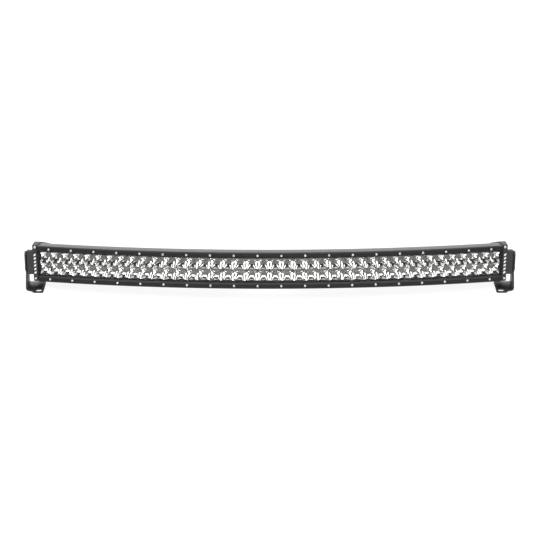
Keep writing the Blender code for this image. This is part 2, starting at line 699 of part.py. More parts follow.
# --- cable gland and vent -----------------------------------------------------------------------
def make_rear_fittings():
    """Both screw into the bare pad on the back. A closed nut blanks the cable gland, which holds no
    cable. Heights are above their seat."""
    thread = -5.5 * MM
    neck = 6.2 * MM
    collet_r = GLAND_THREAD_R - 1 * MM
    collet_top = 13 * MM
    flange_r = 11.5 * MM
    body = [(collet_r, collet_top), (collet_r, neck), (flange_r, neck), (flange_r, 0), (GLAND_THREAD_R, 0),
            (GLAND_THREAD_R, thread), (GLAND_BORE_R, thread), (GLAND_BORE_R, collet_top)]
    nut_top = 17 * MM
    nut_r = 10.4 * MM
    nut = [(0, nut_top), (6 * MM, nut_top), (nut_r, 13.5 * MM), (nut_r, neck + GAP),
           (collet_r + GAP, neck + GAP), (collet_r + GAP, collet_top + GAP), (0, collet_top + GAP)]
    vent = [(0, 6 * MM), (5.5 * MM, 6 * MM), (7 * MM, 4.5 * MM), (7 * MM, 0), (VENT_THREAD_R, 0),
            (VENT_THREAD_R, thread), (0, thread)]
    for name, outline, hollow, s in (("cable_gland", body, True, GLAND_S), ("gland_nut", nut, False, GLAND_S),
                                     ("breather_vent", vent, False, VENT_S)):
        fitting = place(name, profile(name, outline, hollow), NYLON, BAR)
        fitting.matrix_local = rear_frame(s) @ Matrix.Translation((0, 0, 2 * GAP))
        turn(fitting, 16)


make_housing()
make_fins()
make_front()
make_reflectors()
make_boards()
make_rear_fittings()
for end_side, end_label in ((-1, "left"), (1, "right")):
    make_end(end_side, end_label)
    make_bracket(end_side, end_label)
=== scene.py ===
"""Looks of a curved double-row LED light bar on two tilting end brackets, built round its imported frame.

Units are metres. The bar is drawn level in the bar frame, whose origin is the middle of the bezel's
front face, and BAR then tilts it about the bracket bolts. A place along the bar is an arc length s
(+ to the right), a depth d behind the front face and a height z. A place on a bracket is given from
the pivot axis.
"""

import json
import math

import bmesh
import bpy
from mathutils import Matrix, Vector


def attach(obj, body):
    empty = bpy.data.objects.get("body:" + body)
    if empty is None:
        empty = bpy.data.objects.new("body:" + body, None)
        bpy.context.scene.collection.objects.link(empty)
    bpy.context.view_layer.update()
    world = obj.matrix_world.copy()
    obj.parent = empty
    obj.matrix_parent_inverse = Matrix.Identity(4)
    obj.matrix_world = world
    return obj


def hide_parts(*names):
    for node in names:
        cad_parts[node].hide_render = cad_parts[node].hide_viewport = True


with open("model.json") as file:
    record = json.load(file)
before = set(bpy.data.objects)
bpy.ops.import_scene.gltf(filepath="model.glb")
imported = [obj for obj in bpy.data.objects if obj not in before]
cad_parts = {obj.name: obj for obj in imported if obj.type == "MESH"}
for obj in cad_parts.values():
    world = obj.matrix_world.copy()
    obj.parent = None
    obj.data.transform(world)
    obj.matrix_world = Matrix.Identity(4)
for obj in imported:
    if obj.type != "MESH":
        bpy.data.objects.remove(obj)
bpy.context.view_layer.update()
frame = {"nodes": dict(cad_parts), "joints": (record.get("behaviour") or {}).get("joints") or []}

MM = 0.001
GAP = 0.3 * MM

# --- the frame's dimensions ---------------------------------------------------------------------
BEND_R = 2410 * MM
CELL_PITCH = 25.4 * MM
COLUMNS = 40
MODULES = COLUMNS // 2
MODULE_PITCH = 2 * CELL_PITCH
HALF_LENGTH = MODULES * MODULE_PITCH / 2 + 0.5 * MM
HALF_HEIGHT = 40.6 * MM
REST_TILT = math.radians(14)

BEZEL_BACK = 9.0 * MM
LENS_FRONT = 5.2 * MM
LENS_BACK = 8.2 * MM
WINDOW_HALF = 27.0 * MM
LENS_HALF = 30.0 * MM
REFLECTOR_BACK = 26.0 * MM
POCKET_FLOOR = 28.2 * MM
POCKET_HALF = 26.2 * MM

SHELL_BACK = 52 * MM
FIN_ROOT = 54 * MM
FIN_TIP = 80 * MM
FIN_COUNT = 9
FIN_PITCH = 6.0 * MM
FIN_THICK = 2.6 * MM
FIN_SWEEP = 6 * MM
PAD_HALF_WIDTH = HALF_LENGTH / 10
GLAND_S = -24 * MM
GLAND_THREAD_R = 8.0 * MM
GLAND_BORE_R = 4.5 * MM
VENT_S = 24 * MM
VENT_THREAD_R = 4.0 * MM

CAP_START = HALF_LENGTH + 1.6 * MM
CAP_END = CAP_START + 11 * MM
CAP_DEPTH = 82 * MM
CAP_CROWN = 1.5 * MM
CAP_OUTER_X = 516 * MM
BOSS_X = 529.2 * MM
SIDE_SCREW_DEPTH = 20 * MM
SIDE_SCREW_HEIGHT = 34.6 * MM
FRONT_SCREWS = {"upper": (513.6 * MM, 37.4 * MM), "lower": (515.6 * MM, -33.4 * MM)}  # s, z

PIVOT_Y = 80 * MM
PIVOT_Z = -17 * MM
LOCK_RADIUS = 29.6 * MM
LOCK_LEAN = math.radians(15.7)
BOLTS = {
    "pivot": (PIVOT_Y, PIVOT_Z),
    "lock": (PIVOT_Y + LOCK_RADIUS * math.sin(LOCK_LEAN), PIVOT_Z + LOCK_RADIUS * math.cos(LOCK_LEAN)),
}
PLATE = 3.5 * MM
PLATE_OUTER_X = 534 * MM
FOOT_DROP = 36 * MM
FOOT_INNER_X = 494.8 * MM
FOOT_FRONT_Y = -47 * MM
FOOT_BACK_Y = -3.5 * MM
BOLT_HOLE_R = 4.3 * MM
MID_R = 2.5 * MM + PLATE / 2
BEND_TOP = -FOOT_DROP + PLATE / 2 + MID_R
BEND_LENGTH = MID_R * math.pi / 2
LOCK_SLOT_CENTRE = LOCK_LEAN + math.radians(5)
LOCK_SLOT_HALF = math.radians(22)

# Details that only the looks have
SWEEP_STEPS = 120
BEZEL_SCREW_HEIGHT = 33.8 * MM
BEZEL_SEAT = 1.3 * MM         # depth of the counterbore for each bezel screw
SIDE_SEAT = 3.2 * MM          # and for each side screw of an end cap
CUP_SECTORS = 48
CUP_RINGS = 9
SIDE_TRIM = 0.5 * MM          # each reflector module is this much short of its pitch at each side
CUP_FOCUS = 4.475 * MM        # each reflector cup is a paraboloid, r * r = 4 * focus * height
CUP_FLOOR = 26.6 * MM         # depth of its vertex
CUP_MOUTH_R = 5.0 * MM        # radius of the opening for the LED
MARK_HALF = 24 * MM           # half the height of the row of dashes on each end cap

HINGE = {joint["child"]: joint for joint in frame["joints"]}
PIVOT = Vector((0, *HINGE["left_bracket"]["pos_m"][1:]))
BAR = (Matrix.Translation(PIVOT) @ Matrix.Rotation(-REST_TILT, 4, "X")
       @ Matrix.Translation((0, -PIVOT_Y, -PIVOT_Z)))
BRACKET = Matrix.Translation(PIVOT)


# --- materials ----------------------------------------------------------------------------------
class Shader:
    """A Principled material whose colour, roughness and bump come from procedural nodes."""

    def __init__(self, name, metallic=0.0, **sockets):
        self.material = bpy.data.materials.new(name)
        self.material.use_nodes = True
        self.nodes = self.material.node_tree.nodes
        self.links = self.material.node_tree.links
        self.surface = self.nodes["Principled BSDF"]
        self.surface.inputs["Metallic"].default_value = metallic
        for socket, value in sockets.items():
            self.surface.inputs[socket.replace("_", " ")].default_value = value
        self.place = self.nodes.new("ShaderNodeTexCoord").outputs["Object"]

    def stretched(self, scale):
        mapping = self.nodes.new("ShaderNodeMapping")
        mapping.inputs["Scale"].default_value = scale
        self.links.new(self.place, mapping.inputs["Vector"])
        return mapping.outputs["Vector"]

    def noise(self, size, detail=3.0, stretch=None):
        """Noise whose features are about size across."""
        node = self.nodes.new("ShaderNodeTexNoise")
        node.inputs["Scale"].default_value = 1 / size
        node.inputs["Detail"].default_value = detail
        self.links.new(self.stretched(stretch) if stretch else self.place, node.inputs["Vector"])
        return node.outputs["Fac"]

    def grains(self, size):
        node = self.nodes.new("ShaderNodeTexVoronoi")
        node.inputs["Scale"].default_value = 1 / size
        self.links.new(self.place, node.inputs["Vector"])
        return node.outputs["Distance"]

    def colour(self, factor, *stops):
        """A ramp from the factor to the colour, with stops of (position, colour)."""
        ramp = self.nodes.new("ShaderNodeValToRGB")
        elements = ramp.color_ramp.elements
        while len(elements) < len(stops):
            elements.new(1.0)
        for element, (position, value) in zip(elements, stops):
            element.position = position
            element.color = (*value, 1)
        self.links.new(factor, ramp.inputs["Fac"])
        self.links.new(ramp.outputs["Color"], self.surface.inputs["Base Color"])
        return self

    def roughness(self, factor, low, high):
        reach = self.nodes.new("ShaderNodeMapRange")
        reach.inputs["From Min"].default_value = 0.3
        reach.inputs["From Max"].default_value = 0.7
        reach.inputs["To Min"].default_value = low
        reach.inputs["To Max"].default_value = high
        self.links.new(factor, reach.inputs["Value"])
        self.links.new(reach.outputs["Result"], self.surface.inputs["Roughness"])
        return self

    def bump(self, factor, strength, height):
        node = self.nodes.new("ShaderNodeBump")
        node.inputs["Strength"].default_value = strength
        node.inputs["Distance"].default_value = height
        self.links.new(factor, node.inputs["Height"])
        self.links.new(node.outputs["Normal"], self.surface.inputs["Normal"])
        return self


def powder_coat(name, dark, light, low, high, grain, depth, gloss=0.5):
    """Satin black coating: an orange-peel surface with faint cloudy changes in gloss."""
    shader = Shader(name, Specular_IOR_Level=gloss)
    shader.colour(shader.noise(18 * MM), (0.3, dark), (0.7, light))
    shader.roughness(shader.noise(7 * MM, 5.0), low, high)
    return shader.bump(shader.noise(grain, 2.0), 0.35, depth).material


def make_cast_black():
    shader = Shader("textured_cast_black")
    shader.colour(shader.noise(1.1 * MM, 4.0), (0.35, (0.010, 0.010, 0.011)),
                  (0.65, (0.034, 0.034, 0.034)))
    shader.roughness(shader.noise(3 * MM, 4.0), 0.5, 0.68)
    return shader.bump(shader.grains(0.8 * MM), 0.6, 0.12 * MM).material


def make_lens_material():
    shader = Shader("clear_polycarbonate", IOR=1.58, Alpha=0.1)
    shader.colour(shader.noise(60 * MM), (0.3, (0.030, 0.034, 0.038)), (0.7, (0.045, 0.050, 0.055)))
    shader.roughness(shader.noise(25 * MM, 2.0), 0.03, 0.06)
    return shader.bump(shader.noise(90 * MM, 1.0), 0.1, 0.05 * MM).material


def make_mirror():
    """Vacuum-metallised plastic: very bright, with a faint ripple from the moulding."""
    shader = Shader("metallised_reflector", metallic=1.0)
    shader.colour(shader.noise(9 * MM, 2.0), (0.3, (0.86, 0.86, 0.85)), (0.7, (0.94, 0.94, 0.93)))
    shader.roughness(shader.noise(3 * MM, 3.0), 0.035, 0.09)
    return shader.bump(shader.noise(2.6 * MM, 1.0), 0.3, 0.06 * MM).material


def make_board_white():
    shader = Shader("white_solder_mask", Specular_IOR_Level=0.4)
    shader.colour(shader.noise(2 * MM, 4.0), (0.35, (0.50, 0.51, 0.49)), (0.65, (0.62, 0.63, 0.60)))
    shader.roughness(shader.noise(4 * MM), 0.4, 0.5)
    return shader.bump(shader.grains(1.6 * MM), 0.3, 0.04 * MM).material


def make_board_green():
    shader = Shader("green_circuit_board")
    shader.colour(shader.grains(5 * MM), (0.15, (0.05, 0.24, 0.10)), (0.3, (0.015, 0.11, 0.045)))
    shader.roughness(shader.noise(6 * MM), 0.35, 0.5)
    return shader.bump(shader.grains(5 * MM), 0.4, 0.05 * MM).material


def make_rubber():
    shader = Shader("black_silicone_rubber", Specular_IOR_Level=0.3)
    shader.colour(shader.noise(5 * MM, 5.0), (0.3, (0.012, 0.012, 0.012)), (0.7, (0.026, 0.026, 0.025)))
    shader.roughness(shader.noise(2 * MM, 4.0), 0.72, 0.9)
    return shader.bump(shader.noise(0.7 * MM), 0.4, 0.05 * MM).material


def make_nylon():
    shader = Shader("moulded_black_nylon")
    shader.colour(shader.noise(4 * MM, 4.0), (0.3, (0.016, 0.016, 0.017)), (0.7, (0.030, 0.030, 0.031)))
    shader.roughness(shader.noise(2.5 * MM, 4.0), 0.42, 0.6)
    return shader.bump(shader.noise(0.5 * MM), 0.35, 0.03 * MM).material


def make_stainless():
    """Bright steel with fine scratches round about one direction."""
    shader = Shader("stainless_steel", metallic=1.0)
    shader.colour(shader.noise(3 * MM), (0.3, (0.62, 0.61, 0.58)), (0.7, (0.76, 0.75, 0.73)))
    shader.roughness(shader.noise(0.9 * MM, 5.0, (1, 1, 9)), 0.2, 0.36)
    return shader.bump(shader.noise(0.25 * MM, 2.0, (1, 1, 12)), 0.2, 0.01 * MM).material


def make_dome_material():
    """Silicone dome over the phosphor, unlit: a cloudy grey with a wet gloss."""
    shader = Shader("led_silicone_dome", Coat_Weight=0.6, Coat_Roughness=0.08)
    shader.colour(shader.noise(1.2 * MM, 2.0, (1, 1, 3)), (0.4, (0.16, 0.16, 0.15)),
                  (0.6, (0.30, 0.30, 0.28)))
    shader.roughness(shader.noise(2 * MM), 0.2, 0.35)
    return shader.bump(shader.noise(1.5 * MM), 0.15, 0.05 * MM).material


def make_mark_white():
    shader = Shader("white_mark_enamel")
    shader.colour(shader.noise(2 * MM), (0.3, (0.72, 0.72, 0.71)), (0.7, (0.84, 0.84, 0.83)))
    shader.roughness(shader.noise(3 * MM), 0.3, 0.45)
    return shader.bump(shader.noise(0.8 * MM), 0.2, 0.02 * MM).material


HOUSING_BLACK = powder_coat("satin_black_extrusion", (0.008, 0.008, 0.009), (0.014, 0.014, 0.015),
                            0.27, 0.37, 0.9 * MM, 0.025 * MM)
BEZEL_BLACK = powder_coat("satin_black_bezel", (0.007, 0.007, 0.008), (0.012, 0.012, 0.013),
                          0.3, 0.4, 0.8 * MM, 0.025 * MM, 0.28)
STEEL_BLACK = powder_coat("powder_coated_steel", (0.007, 0.007, 0.007), (0.012, 0.012, 0.012),
                          0.34, 0.46, 1.0 * MM, 0.05 * MM)
CAST_BLACK = make_cast_black()
LENS_CLEAR = make_lens_material()
MIRROR = make_mirror()
BOARD_WHITE = make_board_white()
BOARD_GREEN = make_board_green()
RUBBER = make_rubber()
NYLON = make_nylon()
STAINLESS = make_stainless()
DOME = make_dome_material()
MARK_WHITE = make_mark_white()


# --- mesh helpers -------------------------------------------------------------------------------
def finished(bm, name, smooth_angle=35):
    """The bmesh as a mesh with its faces pointing out, shaded smooth except at real edges."""
    bmesh.ops.recalc_face_normals(bm, faces=bm.faces[:])
    mesh = bpy.data.meshes.new(name)
    bm.to_mesh(mesh)
    bm.free()
    mesh.shade_smooth()
    mesh.set_sharp_from_angle(angle=math.radians(smooth_angle))
    return mesh


def show(name, mesh, material, matrix, body, slot, *nodes, shared=False):
    """A piece of the looks, riding on a body, that stands for the given nodes of the frame."""
    piece = bpy.data.objects.new(name, mesh)
    bpy.context.scene.collection.objects.link(piece)
    if not mesh.materials:
        mesh.materials.append(material)
    if shared:
        piece.matrix_world = matrix
    else:
        mesh.transform(matrix)
    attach(piece, body)
    if nodes:
        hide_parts(*nodes)
    return piece


def helper(mesh, matrix=Matrix()):
    """A passing object for a Boolean."""
    obj = bpy.data.objects.new("helper", mesh)
    bpy.context.scene.collection.objects.link(obj)
    obj.matrix_world = matrix
    return obj


def carved(name, base, *tools, added=(), bevel=0.0, smooth_angle=35):
    """The base object with others added and tools cut away, its edges eased, as one mesh."""
    for tool in (*added, *tools):
        modifier = base.modifiers.new("carve", "BOOLEAN")
        modifier.operation = "UNION" if tool in added else "DIFFERENCE"
        modifier.object = tool
    if bevel:
        ease = base.modifiers.new("ease", "BEVEL")
        ease.width = bevel
        ease.segments = 2
        ease.angle_limit = math.radians(40)
        ease.use_clamp_overlap = True
    bpy.context.view_layer.update()
    graph = bpy.context.evaluated_depsgraph_get()
    mesh = bpy.data.meshes.new_from_object(base.evaluated_get(graph))
    mesh.name = name
    for obj in (base, *added, *tools):
        bpy.data.objects.remove(obj, do_unlink=True)
    mesh.shade_smooth()
    mesh.set_sharp_from_angle(angle=math.radians(smooth_angle))
    return mesh


def on_arc(s, depth, height):
    """A point of the bar frame."""
    radius = BEND_R - depth
    return Vector((radius * math.sin(s / BEND_R), BEND_R - radius * math.cos(s / BEND_R), height))


def rounded(corners, radius=0.0, segments=4):
    """The closed outline with its corners turned into arcs. A corner may bring its own radius."""
    points = [Vector(corner[:2]) for corner in corners]
    radii = [corner[2] if len(corner) > 2 else radius for corner in corners]
    outline = []
    for i, (corner, size) in enumerate(zip(points, radii)):
        back = points[i - 1] - corner
        ahead = points[(i + 1) % len(points)] - corner
        half_angle = back.angle(ahead) / 2
        reach = min(size / math.tan(half_angle), 0.46 * back.length, 0.46 * ahead.length)
        start = corner + back.normalized() * reach
        end = corner + ahead.normalized() * reach
        bisector = (back.normalized() + ahead.normalized()).normalized()
        centre = corner + bisector * (reach / math.cos(half_angle))
        for step in range(segments + 1):
            spoke = start.lerp(end, step / segments) - centre
            outline.append(centre + spoke.normalized() * (start - centre).length)
    return outline


def swept(name, outline, start, end, steps=SWEEP_STEPS, hole=None):
    """The (depth, height) outline carried along the bar's arc from start to end, in the bar frame."""
    bm = bmesh.new()
    for loop in (outline, hole or []):
        verts = [bm.verts.new(on_arc(start, depth, height)) for depth, height in loop]
        for i, vert in enumerate(verts):
            bm.edges.new((verts[i - 1], vert))
    bmesh.ops.triangle_fill(bm, use_beauty=True, use_dissolve=False, edges=bm.edges[:])
    bmesh.ops.spin(bm, geom=bm.verts[:] + bm.edges[:] + bm.faces[:], cent=(0, BEND_R, 0), axis=(0, 0, 1),
                   dvec=(0, 0, 0), angle=(end - start) / BEND_R, steps=steps, use_duplicate=False)
    return finished(bm, name)


def ring(bm, segments, matrix, radius, height, sides=0):
    """One ring of a turned form, round, or a polygon with its corners on the radius if it has sides."""
    if radius == 0:
        return [bm.verts.new(matrix @ Vector((0, 0, height)))]
    verts = []
    for i in range(segments):
        angle = math.tau * i / segments
        reach = radius
        if sides:
            sector = math.tau / sides
            reach *= math.cos(sector / 2) / math.cos(angle % sector - sector / 2)
        spot = Vector((reach * math.cos(angle), reach * math.sin(angle), height))
        verts.append(bm.verts.new(matrix @ spot))
    return verts


def turned(bm, rings, matrix=Matrix(), segments=36, closed=False):
    """Adds a solid about local Z through rings of (radius, height) or (radius, height, sides)."""
    loops = [ring(bm, segments, matrix, *spec) for spec in rings]
    pairs = list(zip(loops, loops[1:]))
    if closed:
        pairs.append((loops[-1], loops[0]))
    for low, high in pairs:
        for i in range(segments):
            j = (i + 1) % segments
            quad = [low[i % len(low)], low[j % len(low)], high[j % len(high)], high[i % len(high)]]
            corners = list(dict.fromkeys(quad))
            if len(corners) > 2:
                bm.faces.new(corners)


def turned_mesh(name, rings, matrix=Matrix(), segments=36, closed=False):
    bm = bmesh.new()
    turned(bm, rings, matrix, segments, closed)
    return finished(bm, name)


def add_prism(bm, outline, inner, outer):
    """Adds a solid with the outline on both ends, each end placed by its function."""
    ends = [[bm.verts.new(side(a, b)) for a, b in outline] for side in (inner, outer)]
    bm.faces.new(ends[0])
    bm.faces.new(list(reversed(ends[1])))
    for i in range(len(outline)):
        bm.faces.new((ends[0][i - 1], ends[1][i - 1], ends[1][i], ends[0][i]))


def prism(name, outline, inner, outer, edge=0.0, segments=3):
    """One such solid as a mesh, with its sharp edges eased."""
    bm = bmesh.new()
    add_prism(bm, outline, inner, outer)
    bmesh.ops.recalc_face_normals(bm, faces=bm.faces[:])
    if edge:
        sharp = [e for e in bm.edges if e.calc_face_angle(0) > math.radians(40)]
        bmesh.ops.bevel(bm, geom=sharp, offset=edge, offset_type="OFFSET", segments=segments,
                        profile=0.5, affect="EDGES", clamp_overlap=True)
    return finished(bm, name)


# --- fasteners ----------------------------------------------------------------------------------
def button_screw(head_r, head_height, socket_r, shank_r, length):
    """Rings of a button-head screw with a hex socket. The head stands on local z = 0."""
    floor = 0.35 * head_height
    return [(0, floor), (socket_r, floor, 6), (socket_r, 0.94 * head_height, 6),
            (socket_r * 1.12, head_height), (0.7 * head_r, 0.9 * head_height),
            (0.88 * head_r, 0.7 * head_height), (0.97 * head_r, 0.42 * head_height),
            (head_r, 0.3 * head_height), (head_r, 0.06 * head_height), (0.97 * head_r, 0),
            (shank_r, 0), (shank_r, 0.3 * shank_r - length), (0.7 * shank_r, -length), (0, -length)]


def front_frame(s, height):
    """Local +Z points forwards out of the front face at arc length s."""
    return (Matrix.Translation(on_arc(s, 0, height)) @ Matrix.Rotation(s / BEND_R, 4, "Z")
            @ Matrix.Rotation(math.pi / 2, 4, "X"))


BEZEL_SCREWS = [(i - (MODULES - 1) / 2) * MODULE_PITCH for i in range(MODULES)]


def make_bezel_screws(label, level):
    rings = button_screw(2.7 * MM, 1.6 * MM, 1.25 * MM, 1.5 * MM, 4.5 * MM)
    bm = bmesh.new()
    for s in BEZEL_SCREWS:
        turned(bm, rings, front_frame(s, level * BEZEL_SCREW_HEIGHT)
               @ Matrix.Translation((0, 0, 0.04 * MM - BEZEL_SEAT)), 24)
    show(f"bezel_screws_{label}", finished(bm, "bezel_screws"), STAINLESS, BAR, "light_bar", "stainless")


# --- housing ------------------------------------------------------------------------------------
def finned_back():
    """The back of the section, from the top fin's root to the bottom fin's root."""
    corners = []
    top = (FIN_COUNT - 1) / 2 * FIN_PITCH
    for i in range(FIN_COUNT):
        height = top - i * FIN_PITCH
        tip = FIN_TIP - FIN_SWEEP * (height / top) ** 2
        half = FIN_THICK / 2
        corners += [(FIN_ROOT, height + half, 0.9 * MM), (tip, height + 0.7 * half, 0.8 * MM),
                    (tip, height - 0.7 * half, 0.8 * MM), (FIN_ROOT, height - half, 0.9 * MM)]
    return corners


def rear_frame(s):
    """Local +Z points backwards out of the housing's shell at arc length s."""
    return (Matrix.Translation(on_arc(s, SHELL_BACK, 0)) @ Matrix.Rotation(s / BEND_R, 4, "Z")
            @ Matrix.Rotation(-math.pi / 2, 4, "X"))


def make_housing():
    rim = BEZEL_BACK + GAP
    rebate = rim + 0.9 * MM
    soft = 14 * MM
    half = [(POCKET_FLOOR, POCKET_HALF, 0.6 * MM), (rebate, POCKET_HALF, 0.3 * MM),
            (rebate, LENS_HALF + GAP, 0.2 * MM), (rim, LENS_HALF + GAP, 0.2 * MM),
            (rim, HALF_HEIGHT - 1.6 * MM, 0.4 * MM), (13 * MM, HALF_HEIGHT - 0.9 * MM, soft),
            (23 * MM, HALF_HEIGHT - 0.2 * MM, soft), (27 * MM, HALF_HEIGHT - 0.6 * MM, soft),
            (38 * MM, 36.5 * MM, soft), (50 * MM, 32.0 * MM, 1.5 * MM)]
    corners = half + finned_back() + [(d, -z, r) for d, z, r in reversed(half)]
    cavity = [(33 * MM, 25 * MM), (49 * MM, 23 * MM), (49 * MM, -23 * MM), (33 * MM, -25 * MM)]
    mesh = swept("housing", rounded(corners), -HALF_LENGTH, HALF_LENGTH, hole=rounded(cavity, 2 * MM))
    behind = FIN_TIP + 5 * MM
    clear = [(SHELL_BACK, -HALF_HEIGHT), (behind, -HALF_HEIGHT), (behind, HALF_HEIGHT),
             (SHELL_BACK, HALF_HEIGHT)]
    tools = [helper(swept("pad", clear, -PAD_HALF_WIDTH, PAD_HALF_WIDTH, 24))]
    for s, radius in ((GLAND_S, GLAND_THREAD_R), (VENT_S, VENT_THREAD_R)):
        drill = [(0, -6 * MM), (radius + GAP, -6 * MM), (radius + GAP, 6 * MM), (0, 6 * MM)]
        tools.append(helper(turned_mesh("drill", drill), rear_frame(s)))
    for side in (-1, 1):
        for level in (-1, 1):
            tools.append(side_drill(side, level))
    show("housing_extrusion", carved("housing_extrusion", helper(mesh), *tools), HOUSING_BLACK, BAR,
         "light_bar", "black_metal", "housing", "fins_left", "fins_right")


# --- bezels and lens ----------------------------------------------------------------------------
def make_bezel(label, level):
    """A strip with a chamfer down to the window, and a counterbore for each screw."""
    front = LENS_FRONT - GAP
    corners = [(0, WINDOW_HALF + 3.5 * MM, 0.5 * MM), (3.5 * MM, WINDOW_HALF, 0.4 * MM),
               (front, WINDOW_HALF, 0.1 * MM), (front, LENS_HALF + GAP, 0.1 * MM),
               (BEZEL_BACK, LENS_HALF + GAP, 0.2 * MM), (BEZEL_BACK, HALF_HEIGHT, 0.3 * MM),
               (2.2 * MM, HALF_HEIGHT, 0.8 * MM), (0, HALF_HEIGHT - 2.2 * MM, 0.8 * MM)]
    outline = [(depth, level * height) for depth, height in rounded(corners)]
    mesh = swept("bezel", outline, -HALF_LENGTH, HALF_LENGTH)
    bore = [(0, 1 * MM), (4.0 * MM, 1 * MM), (3.4 * MM, -0.35 * MM), (3.4 * MM, -BEZEL_SEAT),
            (1.7 * MM, -BEZEL_SEAT), (1.7 * MM, -7 * MM), (0, -7 * MM)]
    bm = bmesh.new()
    for s in BEZEL_SCREWS:
        turned(bm, bore, front_frame(s, level * BEZEL_SCREW_HEIGHT), 24)
    name = f"bezel_strip_{label}"
    show(name, carved(name, helper(mesh), helper(finished(bm, "bores"))), BEZEL_BLACK, BAR, "light_bar",
         "black_metal", f"{label}_bezel")
    make_bezel_screws(label, level)


def make_lens():
    corners = [(LENS_FRONT, -LENS_HALF), (LENS_BACK, -LENS_HALF), (LENS_BACK, LENS_HALF),
               (LENS_FRONT, LENS_HALF)]
    mesh = swept("lens", rounded(corners, 0.4 * MM, 3), -HALF_LENGTH, HALF_LENGTH)
    show("lens_window", mesh, LENS_CLEAR, BAR, "light_bar", "clear_lens", "lens")


# --- optics -------------------------------------------------------------------------------------
def cup_rim(angle, left, right):
    """Distance from a cup's axis to the edge of its square cell, whose sides are left and right."""
    side = right if math.cos(angle) > 0 else left
    tiny = 1e-9
    across = side / max(abs(math.cos(angle)), tiny)
    upwards = CELL_PITCH / 2 / max(abs(math.sin(angle)), tiny)
    return min(across, upwards)


def add_cup(bm, x, z, left, right):
    """One cup, from the opening for its LED out to its cell's edge, and the flat back behind it."""
    def spot(radius, angle, depth):
        return bm.verts.new((x + radius * math.cos(angle), depth, z + radius * math.sin(angle)))

    loops = []
    angles = [math.tau * i / CUP_SECTORS for i in range(CUP_SECTORS)]
    rims = [cup_rim(angle, left, right) for angle in angles]
    loops.append([spot(rim, angle, REFLECTOR_BACK) for rim, angle in zip(rims, angles)])
    loops.append([spot(CUP_MOUTH_R, angle, REFLECTOR_BACK) for angle in angles])
    for i in range(CUP_RINGS + 1):
        loop = []
        for rim, angle in zip(rims, angles):
            radius = CUP_MOUTH_R + (rim - CUP_MOUTH_R) * i / CUP_RINGS
            loop.append(spot(radius, angle, CUP_FLOOR - radius * radius / (4 * CUP_FOCUS)))
        loops.append(loop)
    for low, high in zip(loops, loops[1:]):
        for i in range(CUP_SECTORS):
            bm.faces.new((low[i - 1], low[i], high[i], high[i - 1]))


def optic_mesh():
    """A module of two by two cups as one closed solid. Local -Y is the front."""
    bm = bmesh.new()
    half = CELL_PITCH / 2
    for column in (-1, 1):
        trims = (half - SIDE_TRIM, half) if column < 0 else (half, half - SIDE_TRIM)
        for row in (-1, 1):
            add_cup(bm, column * half, row * half, *trims)
    bmesh.ops.remove_doubles(bm, verts=bm.verts[:], dist=0.01 * MM)
    walls = {}
    for edge in [e for e in bm.edges if e.is_boundary]:
        ends = sorted(edge.verts, key=lambda v: (round(v.co.x, 6), round(v.co.z, 6)))
        key = tuple((round(v.co.x, 6), round(v.co.z, 6)) for v in ends)
        walls.setdefault(key, []).append(ends)
    for (first, second) in walls.values():
        bm.faces.new((first[0], first[1], second[1], second[0]))
    return finished(bm, "optic_module", 28)


def module_frames():
    """Each module's place, square to the arc at its middle."""
    drop = BEND_R * (1 - math.cos(MODULE_PITCH / BEND_R / 2))
    for s in BEZEL_SCREWS:
        yield Matrix.Translation(on_arc(s, drop, 0)) @ Matrix.Rotation(s / BEND_R, 4, "Z")


def make_optics():
    mesh = optic_mesh()
    for i, spot in enumerate(module_frames()):
        show(f"optic_{i + 1:02d}", mesh, MIRROR, BAR @ spot, "light_bar", "metallised",
             f"reflector_{i + 1:02d}", shared=True)


def make_emitters():
    """Four LEDs behind each module, each a silicone dome."""
    base = REFLECTOR_BACK + 0.2 * MM
    dome_r = 4.8 * MM
    dome_height = 3.0 * MM
    rise = [(dome_r * math.cos(t), dome_height * math.sin(t)) for t in
            [math.pi / 2 * k / 8 for k in range(8)]]
    rings = [(0, -0.1 * MM), (dome_r, -0.1 * MM)] + rise + [(0, dome_height)]
    per_board = MODULES // 2
    spots = list(module_frames())
    for board in range(2):
        bm = bmesh.new()
        for spot in spots[board * per_board:(board + 1) * per_board]:
            for x in (-CELL_PITCH / 2, CELL_PITCH / 2):
                for z in (-CELL_PITCH / 2, CELL_PITCH / 2):
                    turned(bm, rings, spot @ Matrix.Translation((x, base, z))
                           @ Matrix.Rotation(math.pi / 2, 4, "X"), 32)
        show(f"led_domes_{board + 1}", finished(bm, "led_domes"), DOME, BAR, "light_bar", "led_board")


# --- end caps -----------------------------------------------------------------------------------
def side_frame(side, level):
    """Local +Z points out of the cap's outer face."""
    depth = on_arc(CAP_END, SIDE_SCREW_DEPTH, 0).y
    spot = Vector((side * CAP_OUTER_X, depth, level * SIDE_SCREW_HEIGHT))
    return Matrix.Translation(spot) @ Matrix.Rotation(side * math.pi / 2, 4, "Y")


def side_drill(side, level):
    """A stepped cutter: the counterbore in the cap and the clearance hole on into the housing."""
    rings = [(0, 2 * MM), (4.2 * MM, 2 * MM), (4.2 * MM, 0.2 * MM), (3.9 * MM, -0.3 * MM),
             (3.9 * MM, -SIDE_SEAT), (2.3 * MM, -SIDE_SEAT), (2.3 * MM, -27 * MM), (0, -27 * MM)]
    return helper(turned_mesh("side_drill", rings, segments=24), side_frame(side, level))


def front_drill(side, s, height):
    rings = [(0, 9 * MM), (1.8 * MM, 9 * MM), (1.8 * MM, -9 * MM), (0, -9 * MM)]
    return helper(turned_mesh("front_drill", rings, segments=24), front_frame(side * s, height))


